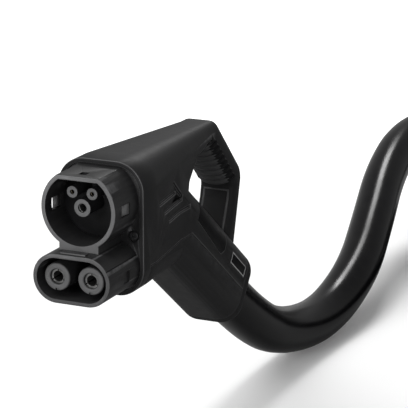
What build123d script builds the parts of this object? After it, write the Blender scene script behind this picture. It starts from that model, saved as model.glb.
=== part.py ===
"""CCS Combo 2 high-power charging plug with its liquid-cooled lead.

Frame: millimetres, origin at the centre of the protective-earth contact's
front face, -Y is the mating direction, +X is to the right when the plug is
seen from its mating face, +Z is up.
"""

from build123d import *
import math
import os

os.makedirs("parts", exist_ok=True)

# ---------------------------------------------------------------- mating face
pe_bore = 6.0                # socket for the 6 mm earth pin
signal_bore = 3.0            # sockets for the 3 mm pilot and proximity pins
dc_bore = 8.0                # sockets for the 8 mm direct-current pins
signal_pitch = 15.9          # pilot to proximity, centre to centre
signal_height = 11.1         # pilot and proximity above the earth contact
dc_pitch = 27.0
dc_drop = 48.9               # direct-current contacts below the earth contact

pe_guard_diameter = 13.0     # plastic collar round each contact
signal_guard_diameter = 8.6
dc_guard_diameter = 20.8
dc_guard_reach = 14.6        # how far the lower guards stand in front of the earth contact
guard_lip = 2.0              # plastic in front of each metal socket
guard_chamfer = 0.9
guard_notch_width = 2.6      # drain notch at the foot of each lower guard
guard_notch_height = 2.0
guard_notch_length = 1.8
pe_mouth = 6.8
signal_mouth = 3.5
dc_mouth = 11.2
socket_wall = 1.2
dc_socket_wall = 2.6
fit_gap = 0.1                # round each metal socket in its guard
slit_width = 0.7
pe_socket_length = 50.0
signal_socket_length = 46.0
dc_socket_length = 58.0
bore_share = 0.6             # of a socket's length that is bored
dc_slit_share = 0.45         # of it that is slit
slit_share = 0.4

shroud_flat_height = 24.7    # its flattened top above the earth contact
shroud_wall = 3.2
upper_reach = 6.7            # upper rim in front of the earth contact
lower_width = 61.8           # lower shroud, outside
shroud_radius = lower_width / 2 - 1.1       # upper shroud, outside
lower_height = 36.8
lower_wall = 3.0
lower_reach = 18.8           # lower rim in front of the earth contact
rim_round = 0.8
web_width = 31.6             # web that joins the two shrouds
web_rise = 5.5               # how far it reaches up into the round one
floor_depth = 22.0           # contact floor behind the earth contact's face
side_window_depth = 3.5      # front of each side window behind the earth face
side_window_length = 13.0
side_window_height = 9.0
side_window_drop = 0.8
top_notch_width = 6.0
top_notch_length = 7.0
latch_window_length = 9.0    # catch pockets in the flanks of the lower shroud
latch_window_height = 9.0
latch_window_front = 4.2
latch_pocket_depth = 1.6
latch_hook_length = 3.4
flank_line_width = 0.8
flank_line_height = 9.6      # above the lower contacts' centre
flank_line_depth = 0.5
step_pad_width = 20.0        # raised pad on the roof of the lower shroud
step_pad_height = 0.9
step_pad_side = 3.0
step_pad_length = 5.0

# ------------------------------------------------------------------- housing
ring_depth = 28.3            # housing's front edge behind the earth face
frame_side_margin = 3.8      # housing beside, above and below the shrouds
frame_top_margin = 4.5
frame_foot_margin = 4.7
housing_width = lower_width + 2 * frame_side_margin
housing_top = shroud_flat_height + frame_top_margin
housing_bottom = dc_drop + lower_height / 2 + frame_foot_margin     # below the earth contact
housing_corner = 22.0
housing_wall = 3.2
ring_wall = 3.4
straight_depth = 50.0        # where the flanks begin to draw in
beam_end = 190.0             # where the handle bar begins
beam_top = 22.6              # roof height there
bar_half_width = 16.0
bar_edge_round = 8.0
belly_depth = 104.0          # end of the flat belly
frame_inset = 1.7            # mating frame's plate behind the housing's edge
frame_plate = 4.0
frame_gap = 0.3
seal_thickness = 1.5
seal_width = 2.2
bulkhead = 4.0
bulkhead_gap = 0.3
screw_margin = 9.1           # mating frame's screws from the housing's flank
screw_side = housing_width / 2 - screw_margin
screw_drop = 25.9
screw_diameter = 4.0
screw_head_diameter = 6.6
screw_head_height = 1.8
screw_recess_diameter = 9.0
screw_recess_depth = 2.0
screw_drive = 2.6
screw_boss_diameter = 9.0
screw_boss_length = 10.0
screw_grip = 9.0             # thread held in the boss

# ---------------------------------------------------------------- handle loop
gap_front_y, gap_front_z = 131.0, -9.5      # front corner of the finger gap
gap_roof_y, gap_roof_z = 152.0, 5.0
gap_peak_y, gap_peak_z = 186.0, 10.0
gap_rear_y, gap_rear_z = 235.0, -39.0
gap_heel_y, gap_heel_z = 232.5, -50.0
gap_foot_y, gap_foot_z = 219.0, -84.0
bar_start = 182.0                           # where the rear bar leaves the beam
bar_top_y = 203.5                           # outer corners of the rear bar
bar_knee_y, bar_knee_z = 255.0, -29.0
bar_foot_y, bar_foot_z = 236.0, -100.0
bar_knee_round = 18.0
bar_top_round = 11.0
bar_rim_start = 12.0
bar_round_start = 25.0                      # its outer edges are round this far above its foot
bar_inner_round = 6.0
gap_round = 5.0
gap_roof_round = 20.0

# ---------------------------------------------------------------------- leg
leg_angle = 37.0             # leg axis below the horizontal, going rearward
leg_end_y, leg_end_z = 240.2, -130.1
lead_diameter = 42.0
leg_side_wall = 6.0          # leg beside the lead, then above and below it
leg_deep_wall = 10.0
leg_width = lead_diameter + 2 * leg_side_wall
leg_height = lead_diameter + 2 * leg_deep_wall
leg_corner = 18.0
leg_start = 197.0            # how far the leg runs forward from its end
leg_hollow_start = 160.0
hollow_end_depth = 126.0     # rear end of the body's hollow
collar_length = 14.0
collar_round = 8.0
collar_spigot = 6.0          # how far the collar reaches into the shells
seam_height = 49.5           # seam of the lower shell below the earth contact
seam_turn = 118.0            # where the seam turns down along the leg
seam_offset = 2.5            # seam below the leg's axis
seam_width = 0.7             # groove along the seam
seam_depth = 0.8

# ------------------------------------------------------------- grip and trim
grip_length = 54.0
grip_start = 9.0             # from the bar's inner top corner
grip_wrap = 6.0              # how far it comes round onto the bar's flanks
grip_thickness = 2.6
grip_ribs = 8
rib_width = 3.4
rib_height = 1.2
groove_count = 3
groove_top = 8.5             # first groove below the earth contact
groove_pitch = 9.2
groove_width = 2.6
groove_depth = 1.4
groove_front = 58.0
groove_front_step = 11.0
groove_rear = 96.0
groove_rear_step = 15.0
slot_length = 26.0
slot_width = 3.6
slot_depth = 2.2
slot_y, slot_z = 101.0, -8.5
inlay_front = 133.0
inlay_rear = 70.0
inlay_top = 27.0
inlay_low_front = 10.0
inlay_low_rear = 5.0
inlay_slant = 5.0
inlay_thickness = 1.2
label_front = 53.0
label_rear = 19.5
label_low = 6.0
label_high = 16.0
label_thickness = 0.8

# -------------------------------------------------------------- inside pieces
busbar_width = 12.0
busbar_thickness = 5.0
conductor_diameter = 11.0
conductor_rise = -6.0        # conductors and hoses below the leg's axis
manifold_length = 20.0
manifold_height = 18.0
manifold_front = 70.0
hose_diameter = 8.0
pe_lead_diameter = 8.0
pe_lead_rise = 10.0
signal_lead_diameter = 5.0
signal_lead_rise = 17.0
board_width = 38.0
board_height = 13.0
board_thickness = 1.6
board_lift = 6.2
board_post_diameter = 5.0
board_corner = 1.5
inner_turn = 12.0            # thin leads turn this far into the leg's hollow
clamp_front = 62.0
clamp_length = 16.0
gland_length = 13.5
piece_gap = 0.3

# --------------------------------------------------------------------- lead
lead_entry = 34.0            # how far the jacket reaches into the leg
lead_gap = 0.3
lead_route = [               # bends of the lead between the leg and its coil
    (0, 306, -180), (2, 380, -212), (8, 464, -222.5), (10, 548, -200), (-4, 626, -171),
    (-19, 700, -144), (-26, 778, -125), (-15, 853, -123), (15, 922, -135), (62, 978, -157),
    (124, 1014, -182), (196, 1028, -204), (270, 1019, -219),
]
floor_height = -241.0
coil_x, coil_y = 227.0, 794.0    # middle of the coil's right-hand half turns
coil_entry_angle = 60.0          # where the run meets the coil, from +X
coil_radii = [227.0, 204.5, 182.0, 158.0]   # half turns, each starting where the last ends
coil_last_sweep = 140.0          # sweep of the innermost one
end_cap_diameter = 47.0
end_cap_length = 26.0
end_cap_round = 3.0

# ------------------------------------------------------------ derived places
plate_front = ring_depth + frame_inset
plate_back = plate_front + frame_plate
seal_back = plate_back + seal_thickness
bulkhead_back = seal_back + bulkhead
leg_cos = math.cos(math.radians(leg_angle))
leg_sin = math.sin(math.radians(leg_angle))
shell_end = -collar_length
taper = (housing_width / 2 - bar_half_width) / (beam_end - straight_depth)


def front(y):
    """Plane facing the mating side at depth y; local x is X, local y is Z."""
    return Plane.XZ.offset(-y)


def leg_plane(s, side=0.0, rise=0.0):
    """Plane across the leg, s behind (+) or ahead (-) of the leg's end."""
    y = leg_end_y + s * leg_cos + rise * leg_sin
    z = leg_end_z - s * leg_sin + rise * leg_cos
    return Plane(origin=(side, y, z), x_dir=(1, 0, 0), z_dir=(0, leg_cos, -leg_sin))


def leg_point(s, rise=0.0):
    """Side-view point (Y, Z) on the leg, s along its axis and rise above it."""
    return (leg_end_y + s * leg_cos + rise * leg_sin, leg_end_z - s * leg_sin + rise * leg_cos)


def half_width(y):
    """Half the housing's width at depth y, before any wall is taken off."""
    return housing_width / 2 - taper * max(0.0, min(y, beam_end) - straight_depth)


def roof(y):
    """Height of the housing's roof at depth y."""
    drop = (housing_top - beam_top) / (beam_end - straight_depth)
    return housing_top - drop * max(0.0, min(y, beam_end) - straight_depth)


def section(y, inset, corner):
    """Rounded section of the housing at depth y, drawn in by inset."""
    top = roof(y) - inset
    bottom = -housing_bottom + inset
    with BuildSketch(front(y)) as sketch:
        with Locations((0, (top + bottom) / 2)):
            RectangleRounded(2 * (half_width(y) - inset), top - bottom, corner)
    return sketch.sketch


def drawn_form(start, end, inset=0.0):
    """Housing's body between two depths, drawn in behind its straight front."""
    share = (end - straight_depth) / (beam_end - straight_depth)
    corner = housing_corner + (bar_edge_round - housing_corner) * share
    sections = [
        section(start, inset, housing_corner - inset),
        section(straight_depth, inset, housing_corner - inset),
        section(end, inset, max(corner - inset, 1.0)),
    ]
    with BuildPart() as form:
        for outline in sections:
            add(outline)
        loft(ruled=True)
    return form.part


def side_prism(outline, reach):
    """Prism across the plug from a closed side-view outline of lines."""
    with BuildPart() as prism:
        with BuildSketch(Plane.YZ):
            with BuildLine():
                Polyline(*outline, close=True)
            make_face()
        extrude(amount=reach, both=True)
    return prism.part


def leg_form(start, end, inset=0.0):
    """Rounded bar of the leg between two stations of its axis."""
    with BuildPart() as form:
        with BuildSketch(leg_plane(start)):
            RectangleRounded(leg_width - 2 * inset, leg_height - 2 * inset, leg_corner - inset)
        extrude(amount=end - start)
    return form.part


def round_shroud(start, end, shrink, web=False):
    """Upper shroud's outline, a disc with a flat top, with or without its web."""
    radius = shroud_radius - shrink
    web_top = -math.sqrt(shroud_radius**2 - (web_width / 2) ** 2) + web_rise / 2
    web_bottom = -dc_drop + lower_height / 2 - lower_wall / 2
    with BuildPart() as solid:
        with BuildSketch(front(start)):
            Circle(radius)
            with Locations((0, shroud_flat_height - shrink + radius)):
                Rectangle(2 * radius, 2 * radius, mode=Mode.SUBTRACT)
            if web:
                with Locations((0, (web_top + web_bottom) / 2)):
                    Rectangle(web_width, web_top - web_bottom)
        extrude(amount=-(end - start))
    return solid.part


def flat_shroud(start, end, shrink):
    """Lower shroud's outline, a stadium, run from start to end."""
    height = lower_height - 2 * shrink
    width = lower_width - 2 * shrink
    with BuildPart() as solid:
        with BuildSketch(front(start)):
            with Locations((0, -dc_drop)):
                SlotOverall(width, height)
        extrude(amount=-(end - start))
    return solid.part


def round_rim(solid, radius):
    """The same solid with the edges of its front face rounded."""
    with BuildPart() as rounded:
        add(solid)
        fillet(rounded.faces().sort_by(Axis.Y)[0].edges(), radius)
    return rounded.part


def save(builder, name):
    """Label the finished piece and write it."""
    builder.part.label = name
    export_step(builder.part, f"parts/{name}.step")


# ------------------------------------------------------------- mating frame
def build_front_frame():
    """Replaceable face with both shrouds, their web and the mounting plate."""
    upper = round_rim(round_shroud(-upper_reach, plate_back, 0, web=True), rim_round)
    upper_inside = round_shroud(-upper_reach - 1, plate_back + 1, shroud_wall)
    lower = round_rim(flat_shroud(-lower_reach, plate_back, 0), rim_round)
    lower_inside = flat_shroud(-lower_reach - 1, plate_back + 1, lower_wall)
    window_z = -side_window_drop
    latch_z = -dc_drop - 1.4
    with BuildPart() as frame:
        with BuildSketch(front(plate_front)):
            with Locations((0, (housing_top - housing_bottom) / 2)):
                RectangleRounded(
                    housing_width - 2 * (ring_wall + frame_gap),
                    housing_top + housing_bottom - 2 * (ring_wall + frame_gap),
                    housing_corner - ring_wall - frame_gap,
                )
        extrude(amount=-frame_plate)
        add(upper)
        add(lower)
        with Locations(Location((0, -lower_reach + step_pad_side + step_pad_length / 2,
                                 -dc_drop + lower_height / 2))):
            Box(step_pad_width, step_pad_length, 2 * step_pad_height)
        add(upper_inside, mode=Mode.SUBTRACT)
        add(lower_inside, mode=Mode.SUBTRACT)
        # windows through both flanks of the round shroud
        with Locations(Location((0, side_window_depth + side_window_length / 2, window_z))):
            Box(2 * shroud_radius + 2, side_window_length, side_window_height, mode=Mode.SUBTRACT)
        # notch in its flat roof, behind the rim
        with Locations(Location((0, top_notch_length / 2, shroud_flat_height))):
            Box(top_notch_width, top_notch_length, shroud_wall, mode=Mode.SUBTRACT)
        # catch pockets and parting lines in the flanks of the lower shroud
        for side in (-1, 1):
            with Locations(Location((side * lower_width / 2,
                                     latch_window_front + latch_window_length / 2, latch_z))):
                Box(2 * latch_pocket_depth, latch_window_length, latch_window_height,
                    mode=Mode.SUBTRACT)
            flank = lower_width / 2 - (lower_height / 2 - math.sqrt(
                (lower_height / 2) ** 2 - flank_line_height**2))
            with Locations(Location((side * flank, (plate_front - lower_reach) / 2,
                                     -dc_drop + flank_line_height))):
                Box(2 * flank_line_depth, plate_front + lower_reach, flank_line_width,
                    mode=Mode.SUBTRACT)
            with Locations(Location((side * (lower_width / 2 - latch_pocket_depth),
                                     latch_window_front + latch_hook_length / 2,
                                     latch_z + latch_window_height / 4))):
                Box(latch_pocket_depth, latch_hook_length, latch_window_height / 2)
            with Locations(front(plate_front)):
                with Locations((side * screw_side, -screw_drop)):
                    CounterBoreHole(screw_diameter / 2 + piece_gap, screw_recess_diameter / 2,
                                    screw_recess_depth, frame_plate)
    return frame


# ------------------------------------------------------------- housing forms
def far_prism(outline):
    """Side-view prism that reaches past both flanks."""
    return side_prism(outline, housing_width)


def body_form(inset=0.0):
    """Front box, drawn-in body and top beam, before the rear bar and leg."""
    over = 20.0
    with BuildPart() as clip:
        with BuildSketch(Plane.YZ) as profile:
            with BuildLine():
                Polyline(
                    (ring_depth - over, housing_top + over),
                    (beam_end, housing_top + over),
                    (beam_end, gap_peak_z + inset),
                    (gap_peak_y, gap_peak_z + inset),
                    (gap_roof_y, gap_roof_z + inset),
                    (gap_front_y - inset, gap_front_z + inset),
                    (belly_depth, -housing_bottom - over),
                    (ring_depth - over, -housing_bottom - over), close=True,
                )
            make_face()
            for y, z, radius in (
                (gap_peak_y, gap_peak_z + inset, gap_roof_round),
                (gap_roof_y, gap_roof_z + inset, gap_roof_round),
                (gap_front_y - inset, gap_front_z + inset, gap_round + inset),
            ):
                fillet(profile.vertices().sort_by_distance((y, z))[0], radius)
        extrude(amount=housing_width, both=True)
    with BuildPart() as form:
        add(drawn_form(ring_depth, beam_end, inset))
        add(clip.part, mode=Mode.INTERSECT)
    return form.part


def bar_rims(form):
    """Long edges round both flat flanks of the rear bar."""
    flanks = form.faces().filter_by(Axis.X)
    flanks = [flanks.sort_by(Axis.X)[0], flanks.sort_by(Axis.X)[-1]]
    return [
        e for face in flanks for e in face.edges()
        if e.center().Y > bar_start + 4 and e.center().Z > bar_foot_z + bar_rim_start
    ]


def bar_form(inset=0.0):
    """Rear bar of the handle loop, from the beam down into the leg."""
    with BuildPart() as form:
        with BuildSketch(Plane.YZ) as profile:
            with BuildLine():
                Polyline(
                    (bar_start, beam_top), (bar_top_y, beam_top), (bar_knee_y, bar_knee_z),
                    (bar_foot_y, bar_foot_z), (gap_foot_y, bar_foot_z), (gap_foot_y, gap_foot_z),
                    (gap_heel_y, gap_heel_z), (gap_rear_y, gap_rear_z), (gap_peak_y, gap_peak_z),
                    (bar_start, gap_peak_z), close=True,
                )
            make_face()
            corners = profile.vertices()
            knee = corners.sort_by_distance((bar_knee_y, bar_knee_z))[0]
            fillet(knee, bar_knee_round)
            corner = profile.vertices().sort_by_distance((bar_top_y, beam_top))[0]
            fillet(corner, bar_top_round)
            inner = [
                profile.vertices().sort_by_distance((gap_peak_y, gap_peak_z))[0],
                profile.vertices().sort_by_distance((gap_rear_y, gap_rear_z))[0],
                profile.vertices().sort_by_distance((gap_heel_y, gap_heel_z))[0],
            ]
            fillet(inner, gap_round)
            if inset:
                offset(amount=-inset, kind=Kind.INTERSECTION)
        extrude(amount=bar_half_width - inset, both=True)
        split = (gap_rear_y + gap_rear_z + bar_knee_y + bar_knee_z) / 2
        outer_edges = [e for e in bar_rims(form) if e.center().Y + e.center().Z > split]
        fillet([e for e in outer_edges if e.center().Z > bar_foot_z + bar_round_start], bar_edge_round - inset)
        inner_edges = [e for e in bar_rims(form) if e.center().Y + e.center().Z <= split]
        fillet(inner_edges, bar_inner_round - inset)
    return form.part


def seam_outline(drop=0.0):
    """Side-view outline of what lies below the seam of the lower shell."""
    turn = leg_point(0, -seam_offset - drop)
    run = (turn[1] + seam_height + drop) / leg_sin
    corner = (turn[0] + run * leg_cos, -seam_height - drop)
    tail = leg_point(housing_width, -seam_offset - drop)
    floor = -housing_bottom - leg_start
    return [
        (bulkhead_back, -seam_height - drop), corner, tail,
        (tail[0], floor), (bulkhead_back, floor),
    ]


def flank_cut(outline, side, depth):
    """Skin of the housing inside a side-view outline, depth thick, on one flank."""
    with BuildPart() as cut:
        with BuildSketch(Plane.YZ):
            with BuildLine():
                Polyline(*outline, close=True)
            make_face()
        extrude(amount=side * housing_width)
        add(drawn_form(ring_depth, beam_end, depth), mode=Mode.SUBTRACT)
        add(leg_form(-leg_start, housing_width, depth), mode=Mode.SUBTRACT)
    return cut.part


def bar_of(y, z, length, width, tilt=0.0):
    """Corners of a bar in side view, centred on (y, z) and tilted below the horizontal."""
    cos, sin = math.cos(math.radians(tilt)), math.sin(math.radians(tilt))
    corners = []
    for along, across in ((-1, -1), (1, -1), (1, 1), (-1, 1)):
        u, v = along * length / 2, across * width / 2
        corners.append((y + u * cos + v * sin, z - u * sin + v * cos))
    return corners


def inlay_outline():
    """Side-view outline of the inlay along the leg's upper flank."""
    return [
        leg_point(-inlay_front, inlay_top), leg_point(-inlay_rear, inlay_top),
        leg_point(-inlay_rear, inlay_low_rear + inlay_slant),
        leg_point(-inlay_rear - inlay_slant, inlay_low_rear),
        leg_point(-inlay_front, inlay_low_front),
    ]


def label_outline():
    """Side-view outline of the small plate beside the handle's foot."""
    return [
        leg_point(-label_front, label_low), leg_point(-label_rear, label_low),
        leg_point(-label_rear, label_high), leg_point(-label_front, label_high),
    ]


def bulkhead_opening(start, end, shrink):
    """Passage for the contact carrier, both shroud outlines and their waist."""
    with BuildPart() as solid:
        add(round_shroud(start, end, shrink))
        add(flat_shroud(start, end, shrink))
        with BuildSketch(front(start)):
            with Locations((0, -dc_drop / 2)):
                Rectangle(web_width - 2 * shrink, dc_drop)
        extrude(amount=-(end - start))
    return solid.part


def inner_hollow():
    """Space inside the housing and the leg."""
    with BuildPart() as hollow:
        add(drawn_form(bulkhead_back, hollow_end_depth, housing_wall))
        add(leg_form(-leg_hollow_start, shell_end + 1, housing_wall))
    return hollow.part


# ------------------------------------------------------------ housing shells
front_frame = build_front_frame()
body = body_form()
bar = bar_form()
leg = leg_form(-leg_start, shell_end)
hollow = inner_hollow()
carrier_shrink = shroud_wall - 1.0
below_seam = far_prism(seam_outline())

# grip insert wrapped over the inner side of the rear bar
grip_slope = math.degrees(math.atan2(gap_peak_z - gap_rear_z, gap_rear_y - gap_peak_y))
grip_cos, grip_sin = math.cos(math.radians(grip_slope)), math.sin(math.radians(grip_slope))
grip_mid = grip_start + grip_length / 2


def grip_zone(along, length):
    """Block round the inner side of the rear bar, over part of its length."""
    depth = 4 * grip_wrap
    shift = grip_wrap - depth / 2
    y = gap_peak_y + along * grip_cos + shift * grip_sin
    z = gap_peak_z - along * grip_sin + shift * grip_cos
    return far_prism(bar_of(y, z, length, depth, grip_slope))


bar_core = bar_form(grip_thickness)
with BuildPart() as grip_insert:
    add(bar)
    add(grip_zone(grip_mid, grip_length), mode=Mode.INTERSECT)
    add(bar_core, mode=Mode.SUBTRACT)

with BuildPart() as grip_seat:
    add(bar_core)
    add(grip_zone(grip_mid, grip_length), mode=Mode.INTERSECT)

bar_swell = bar_form(-rib_height)
rib_pitch = (grip_length - rib_width) / (grip_ribs - 1)
for rib in range(grip_ribs):
    along = grip_start + rib_width / 2 + rib * rib_pitch
    with BuildPart() as rib_band:
        add(bar_swell)
        add(grip_zone(along, rib_width), mode=Mode.INTERSECT)
        add(bar_core, mode=Mode.SUBTRACT)
    with grip_insert:
        add(rib_band.part)

with BuildPart() as housing:
    add(body)
    add(bar)
    add(leg)
    add(hollow, mode=Mode.SUBTRACT)
    # screw bosses behind the bulkhead
    for side in (-1, 1):
        with BuildSketch(front(bulkhead_back - 1)):
            with Locations((side * screw_side, -screw_drop)):
                Circle(screw_boss_diameter / 2)
        extrude(amount=-(screw_boss_length + 1))
    # seat of the mating frame and its seal
    with BuildSketch(front(ring_depth - 1)):
        with Locations((0, (housing_top - housing_bottom) / 2)):
            RectangleRounded(
                housing_width - 2 * ring_wall, housing_top + housing_bottom - 2 * ring_wall,
                housing_corner - ring_wall,
            )
    extrude(amount=-(seal_back - ring_depth + 1), mode=Mode.SUBTRACT)
    add(bulkhead_opening(seal_back - 1, bulkhead_back + 1, carrier_shrink), mode=Mode.SUBTRACT)
    for side in (-1, 1):
        with BuildSketch(front(seal_back - 1)):
            with Locations((side * screw_side, -screw_drop)):
                Circle(screw_diameter / 2)
        extrude(amount=-(screw_grip + 1), mode=Mode.SUBTRACT)
    # grip grooves and finger slot in both flanks
    for side in (-1, 1):
        for row in range(groove_count):
            first = groove_front + row * groove_front_step
            last = groove_rear + row * groove_rear_step
            z = -groove_top - row * groove_pitch
            add(flank_cut(bar_of((first + last) / 2, z, last - first, groove_width), side,
                          groove_depth), mode=Mode.SUBTRACT)
        add(flank_cut(bar_of(slot_y, slot_z, slot_length, slot_width, leg_angle), side,
                      slot_depth), mode=Mode.SUBTRACT)
    add(flank_cut(inlay_outline(), 1, inlay_thickness), mode=Mode.SUBTRACT)
    add(flank_cut(label_outline(), 1, label_thickness), mode=Mode.SUBTRACT)
    add(grip_zone(grip_mid, grip_length), mode=Mode.SUBTRACT)
    add(grip_seat.part)
    add(below_seam, mode=Mode.SUBTRACT)

with BuildPart() as lower_shell:
    add(body)
    add(leg)
    add(hollow, mode=Mode.SUBTRACT)
    add(below_seam, mode=Mode.INTERSECT)
    # groove along the seam on both flanks
    seam_band = seam_outline()[:3] + seam_outline(seam_width)[2::-1]
    for side in (-1, 1):
        add(flank_cut(seam_band, side, seam_depth), mode=Mode.SUBTRACT)

save(front_frame, "front_frame")
save(housing, "housing")
save(lower_shell, "lower_shell")
save(grip_insert, "grip_insert")

# ------------------------------------------------------- trim on the housing
with BuildPart() as side_inlay:
    add(leg_form(-leg_start, shell_end))
    add(flank_cut(inlay_outline(), 1, inlay_thickness), mode=Mode.INTERSECT)
save(side_inlay, "side_inlay")

with BuildPart() as label_plate:
    add(leg_form(-leg_start, shell_end))
    add(flank_cut(label_outline(), 1, label_thickness), mode=Mode.INTERSECT)
save(label_plate, "label_plate")

# ------------------------------------------------------------- leg end collar
with BuildPart() as cable_collar:
    with BuildSketch(leg_plane(shell_end)):
        RectangleRounded(leg_width, leg_height, leg_corner)
    extrude(amount=collar_length)
    leg_axis = Axis((0, leg_end_y, leg_end_z), (0, leg_cos, -leg_sin))
    fillet(cable_collar.faces().sort_by(leg_axis)[-1].edges(), collar_round)
    with BuildSketch(leg_plane(shell_end - collar_spigot)):
        RectangleRounded(
            leg_width - 2 * (housing_wall + piece_gap), leg_height - 2 * (housing_wall + piece_gap),
            leg_corner - housing_wall - piece_gap,
        )
    extrude(amount=collar_spigot)
    with BuildSketch(leg_plane(shell_end - collar_spigot - 1)):
        Circle(lead_diameter / 2 + lead_gap)
    extrude(amount=collar_length + collar_spigot + 2, mode=Mode.SUBTRACT)
save(cable_collar, "cable_collar")

# --------------------------------------------------------------- frame screws
with BuildPart() as frame_screws:
    for side in (-1, 1):
        with BuildSketch(front(plate_front + screw_recess_depth - screw_head_height)):
            with Locations((side * screw_side, -screw_drop)):
                Circle(screw_head_diameter / 2)
                RegularPolygon(screw_drive / 2, 6, mode=Mode.SUBTRACT)
        extrude(amount=-screw_head_height * 0.6)
        with BuildSketch(front(plate_front + screw_recess_depth - screw_head_height * 0.4)):
            with Locations((side * screw_side, -screw_drop)):
                Circle(screw_head_diameter / 2)
        extrude(amount=-screw_head_height * 0.4)
        with BuildSketch(front(plate_front + screw_recess_depth)):
            with Locations((side * screw_side, -screw_drop)):
                Circle(screw_diameter / 2 - fit_gap)
        extrude(amount=-(seal_back + screw_grip - plate_front - screw_recess_depth - piece_gap))
save(frame_screws, "frame_screws")

with BuildPart() as frame_seal:
    with BuildSketch(front(plate_back)):
        with Locations((0, (housing_top - housing_bottom) / 2)):
            RectangleRounded(
                housing_width - 2 * (ring_wall + frame_gap),
                housing_top + housing_bottom - 2 * (ring_wall + frame_gap),
                housing_corner - ring_wall - frame_gap,
            )
            RectangleRounded(
                housing_width - 2 * (ring_wall + frame_gap + seal_width),
                housing_top + housing_bottom - 2 * (ring_wall + frame_gap + seal_width),
                housing_corner - ring_wall - frame_gap - seal_width, mode=Mode.SUBTRACT,
            )
    extrude(amount=-seal_thickness)
save(frame_seal, "frame_seal")

# ------------------------------------------------- contact carrier and guards
contacts = {
    "pe": (0.0, 0.0, pe_guard_diameter, pe_mouth, pe_bore, pe_socket_length),
    "cp": (-signal_pitch / 2, signal_height, signal_guard_diameter, signal_mouth,
           signal_bore, signal_socket_length),
    "pp": (signal_pitch / 2, signal_height, signal_guard_diameter, signal_mouth,
           signal_bore, signal_socket_length),
}
carrier_back = bulkhead_back + 3.0
dc_socket_outer = dc_bore + 2 * dc_socket_wall
dc_front = -dc_guard_reach

with BuildPart() as contact_carrier:
    add(bulkhead_opening(plate_back, bulkhead_back, carrier_shrink + bulkhead_gap))
    add(round_shroud(floor_depth, plate_back, shroud_wall + piece_gap / 2))
    add(flat_shroud(floor_depth, plate_back, lower_wall + piece_gap / 2))
    add(bulkhead_opening(bulkhead_back, carrier_back, carrier_shrink + 2 * bulkhead_gap))
    for side, height, guard, mouth, bore, length in contacts.values():
        with BuildSketch(front(0)):
            with Locations((side, height)):
                Circle(guard / 2)
        extrude(amount=-floor_depth)
        with BuildSketch(front(-1)):
            with Locations((side, height)):
                Circle(mouth / 2)
        extrude(amount=-(guard_lip + 1), mode=Mode.SUBTRACT)
        with BuildSketch(front(guard_lip)):
            with Locations((side, height)):
                Circle(bore / 2 + socket_wall + fit_gap)
        extrude(amount=-carrier_back, mode=Mode.SUBTRACT)
    for side in (-1, 1):
        with BuildSketch(front(floor_depth - 1)):
            with Locations((side * dc_pitch / 2, -dc_drop)):
                Circle(dc_guard_diameter / 2 + fit_gap)
        extrude(amount=-carrier_back, mode=Mode.SUBTRACT)
    # posts that hold the sensor board
    for side in (-1, 1):
        with BuildSketch(front(carrier_back)):
            with Locations((side * (board_width / 2 - 4), board_lift + board_height / 2)):
                Circle(board_post_diameter / 2)
        extrude(amount=-(signal_socket_length - carrier_back))
save(contact_carrier, "contact_carrier")

for name, sign in (("plus", 1), ("minus", -1)):
    side = sign * dc_pitch / 2
    with BuildPart() as guard:
        with BuildSketch(front(dc_front)):
            with Locations((side, -dc_drop)):
                Circle(dc_guard_diameter / 2)
        extrude(amount=-(carrier_back - dc_front))
        chamfer(guard.faces().sort_by(Axis.Y)[0].edges(), guard_chamfer)
        with BuildSketch(front(dc_front - 1)):
            with Locations((side, -dc_drop)):
                Circle(dc_mouth / 2)
        extrude(amount=-(guard_lip + 1), mode=Mode.SUBTRACT)
        inner_lip = guard.edges().filter_by(GeomType.CIRCLE).filter_by(
            lambda e: abs(e.radius - dc_mouth / 2) < 0.01 and abs(e.center().Y - dc_front) < 0.01)
        chamfer(inner_lip, guard_chamfer)
        with BuildSketch(front(dc_front + guard_lip)):
            with Locations((side, -dc_drop)):
                Circle(dc_socket_outer / 2 + fit_gap)
        extrude(amount=-(carrier_back - dc_front), mode=Mode.SUBTRACT)
        with BuildSketch(front(dc_front - 1)):
            with Locations((side, -dc_drop - dc_guard_diameter / 2)):
                Rectangle(guard_notch_width, 2 * guard_notch_height)
        extrude(amount=-(guard_notch_length + 1), mode=Mode.SUBTRACT)
    save(guard, f"dc_guard_{name}")

    with BuildPart() as socket:
        with BuildSketch(front(dc_front + guard_lip)):
            with Locations((side, -dc_drop)):
                Circle(dc_socket_outer / 2)
        extrude(amount=-dc_socket_length)
        with BuildSketch(front(dc_front + guard_lip)):
            with Locations((side, -dc_drop)):
                Circle(dc_bore / 2)
        extrude(amount=-dc_socket_length * bore_share, mode=Mode.SUBTRACT)
        with BuildSketch(front(dc_front + guard_lip)):
            with Locations((side, -dc_drop)):
                with PolarLocations(dc_socket_outer / 4 + dc_bore / 8, 3, start_angle=90):
                    Rectangle(dc_socket_outer / 2 - dc_bore / 4, slit_width)
        extrude(amount=-dc_socket_length * dc_slit_share, mode=Mode.SUBTRACT)
    save(socket, f"dc_contact_{name}")

for name, (side, height, guard_size, mouth, bore, length) in contacts.items():
    with BuildPart() as socket:
        with BuildSketch(front(guard_lip)):
            with Locations((side, height)):
                Circle(bore / 2 + socket_wall)
        extrude(amount=-(length - guard_lip))
        with BuildSketch(front(guard_lip)):
            with Locations((side, height)):
                Circle(bore / 2)
        extrude(amount=-length * bore_share, mode=Mode.SUBTRACT)
        with BuildSketch(front(guard_lip)):
            with Locations((side, height)):
                Rectangle(slit_width, bore + 3 * socket_wall)
        extrude(amount=-length * slit_share, mode=Mode.SUBTRACT)
    save(socket, f"{name}_contact")

# ------------------------------------------------------------- inside pieces
dc_tail = dc_front + guard_lip + dc_socket_length
lead_start = -lead_entry


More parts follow.
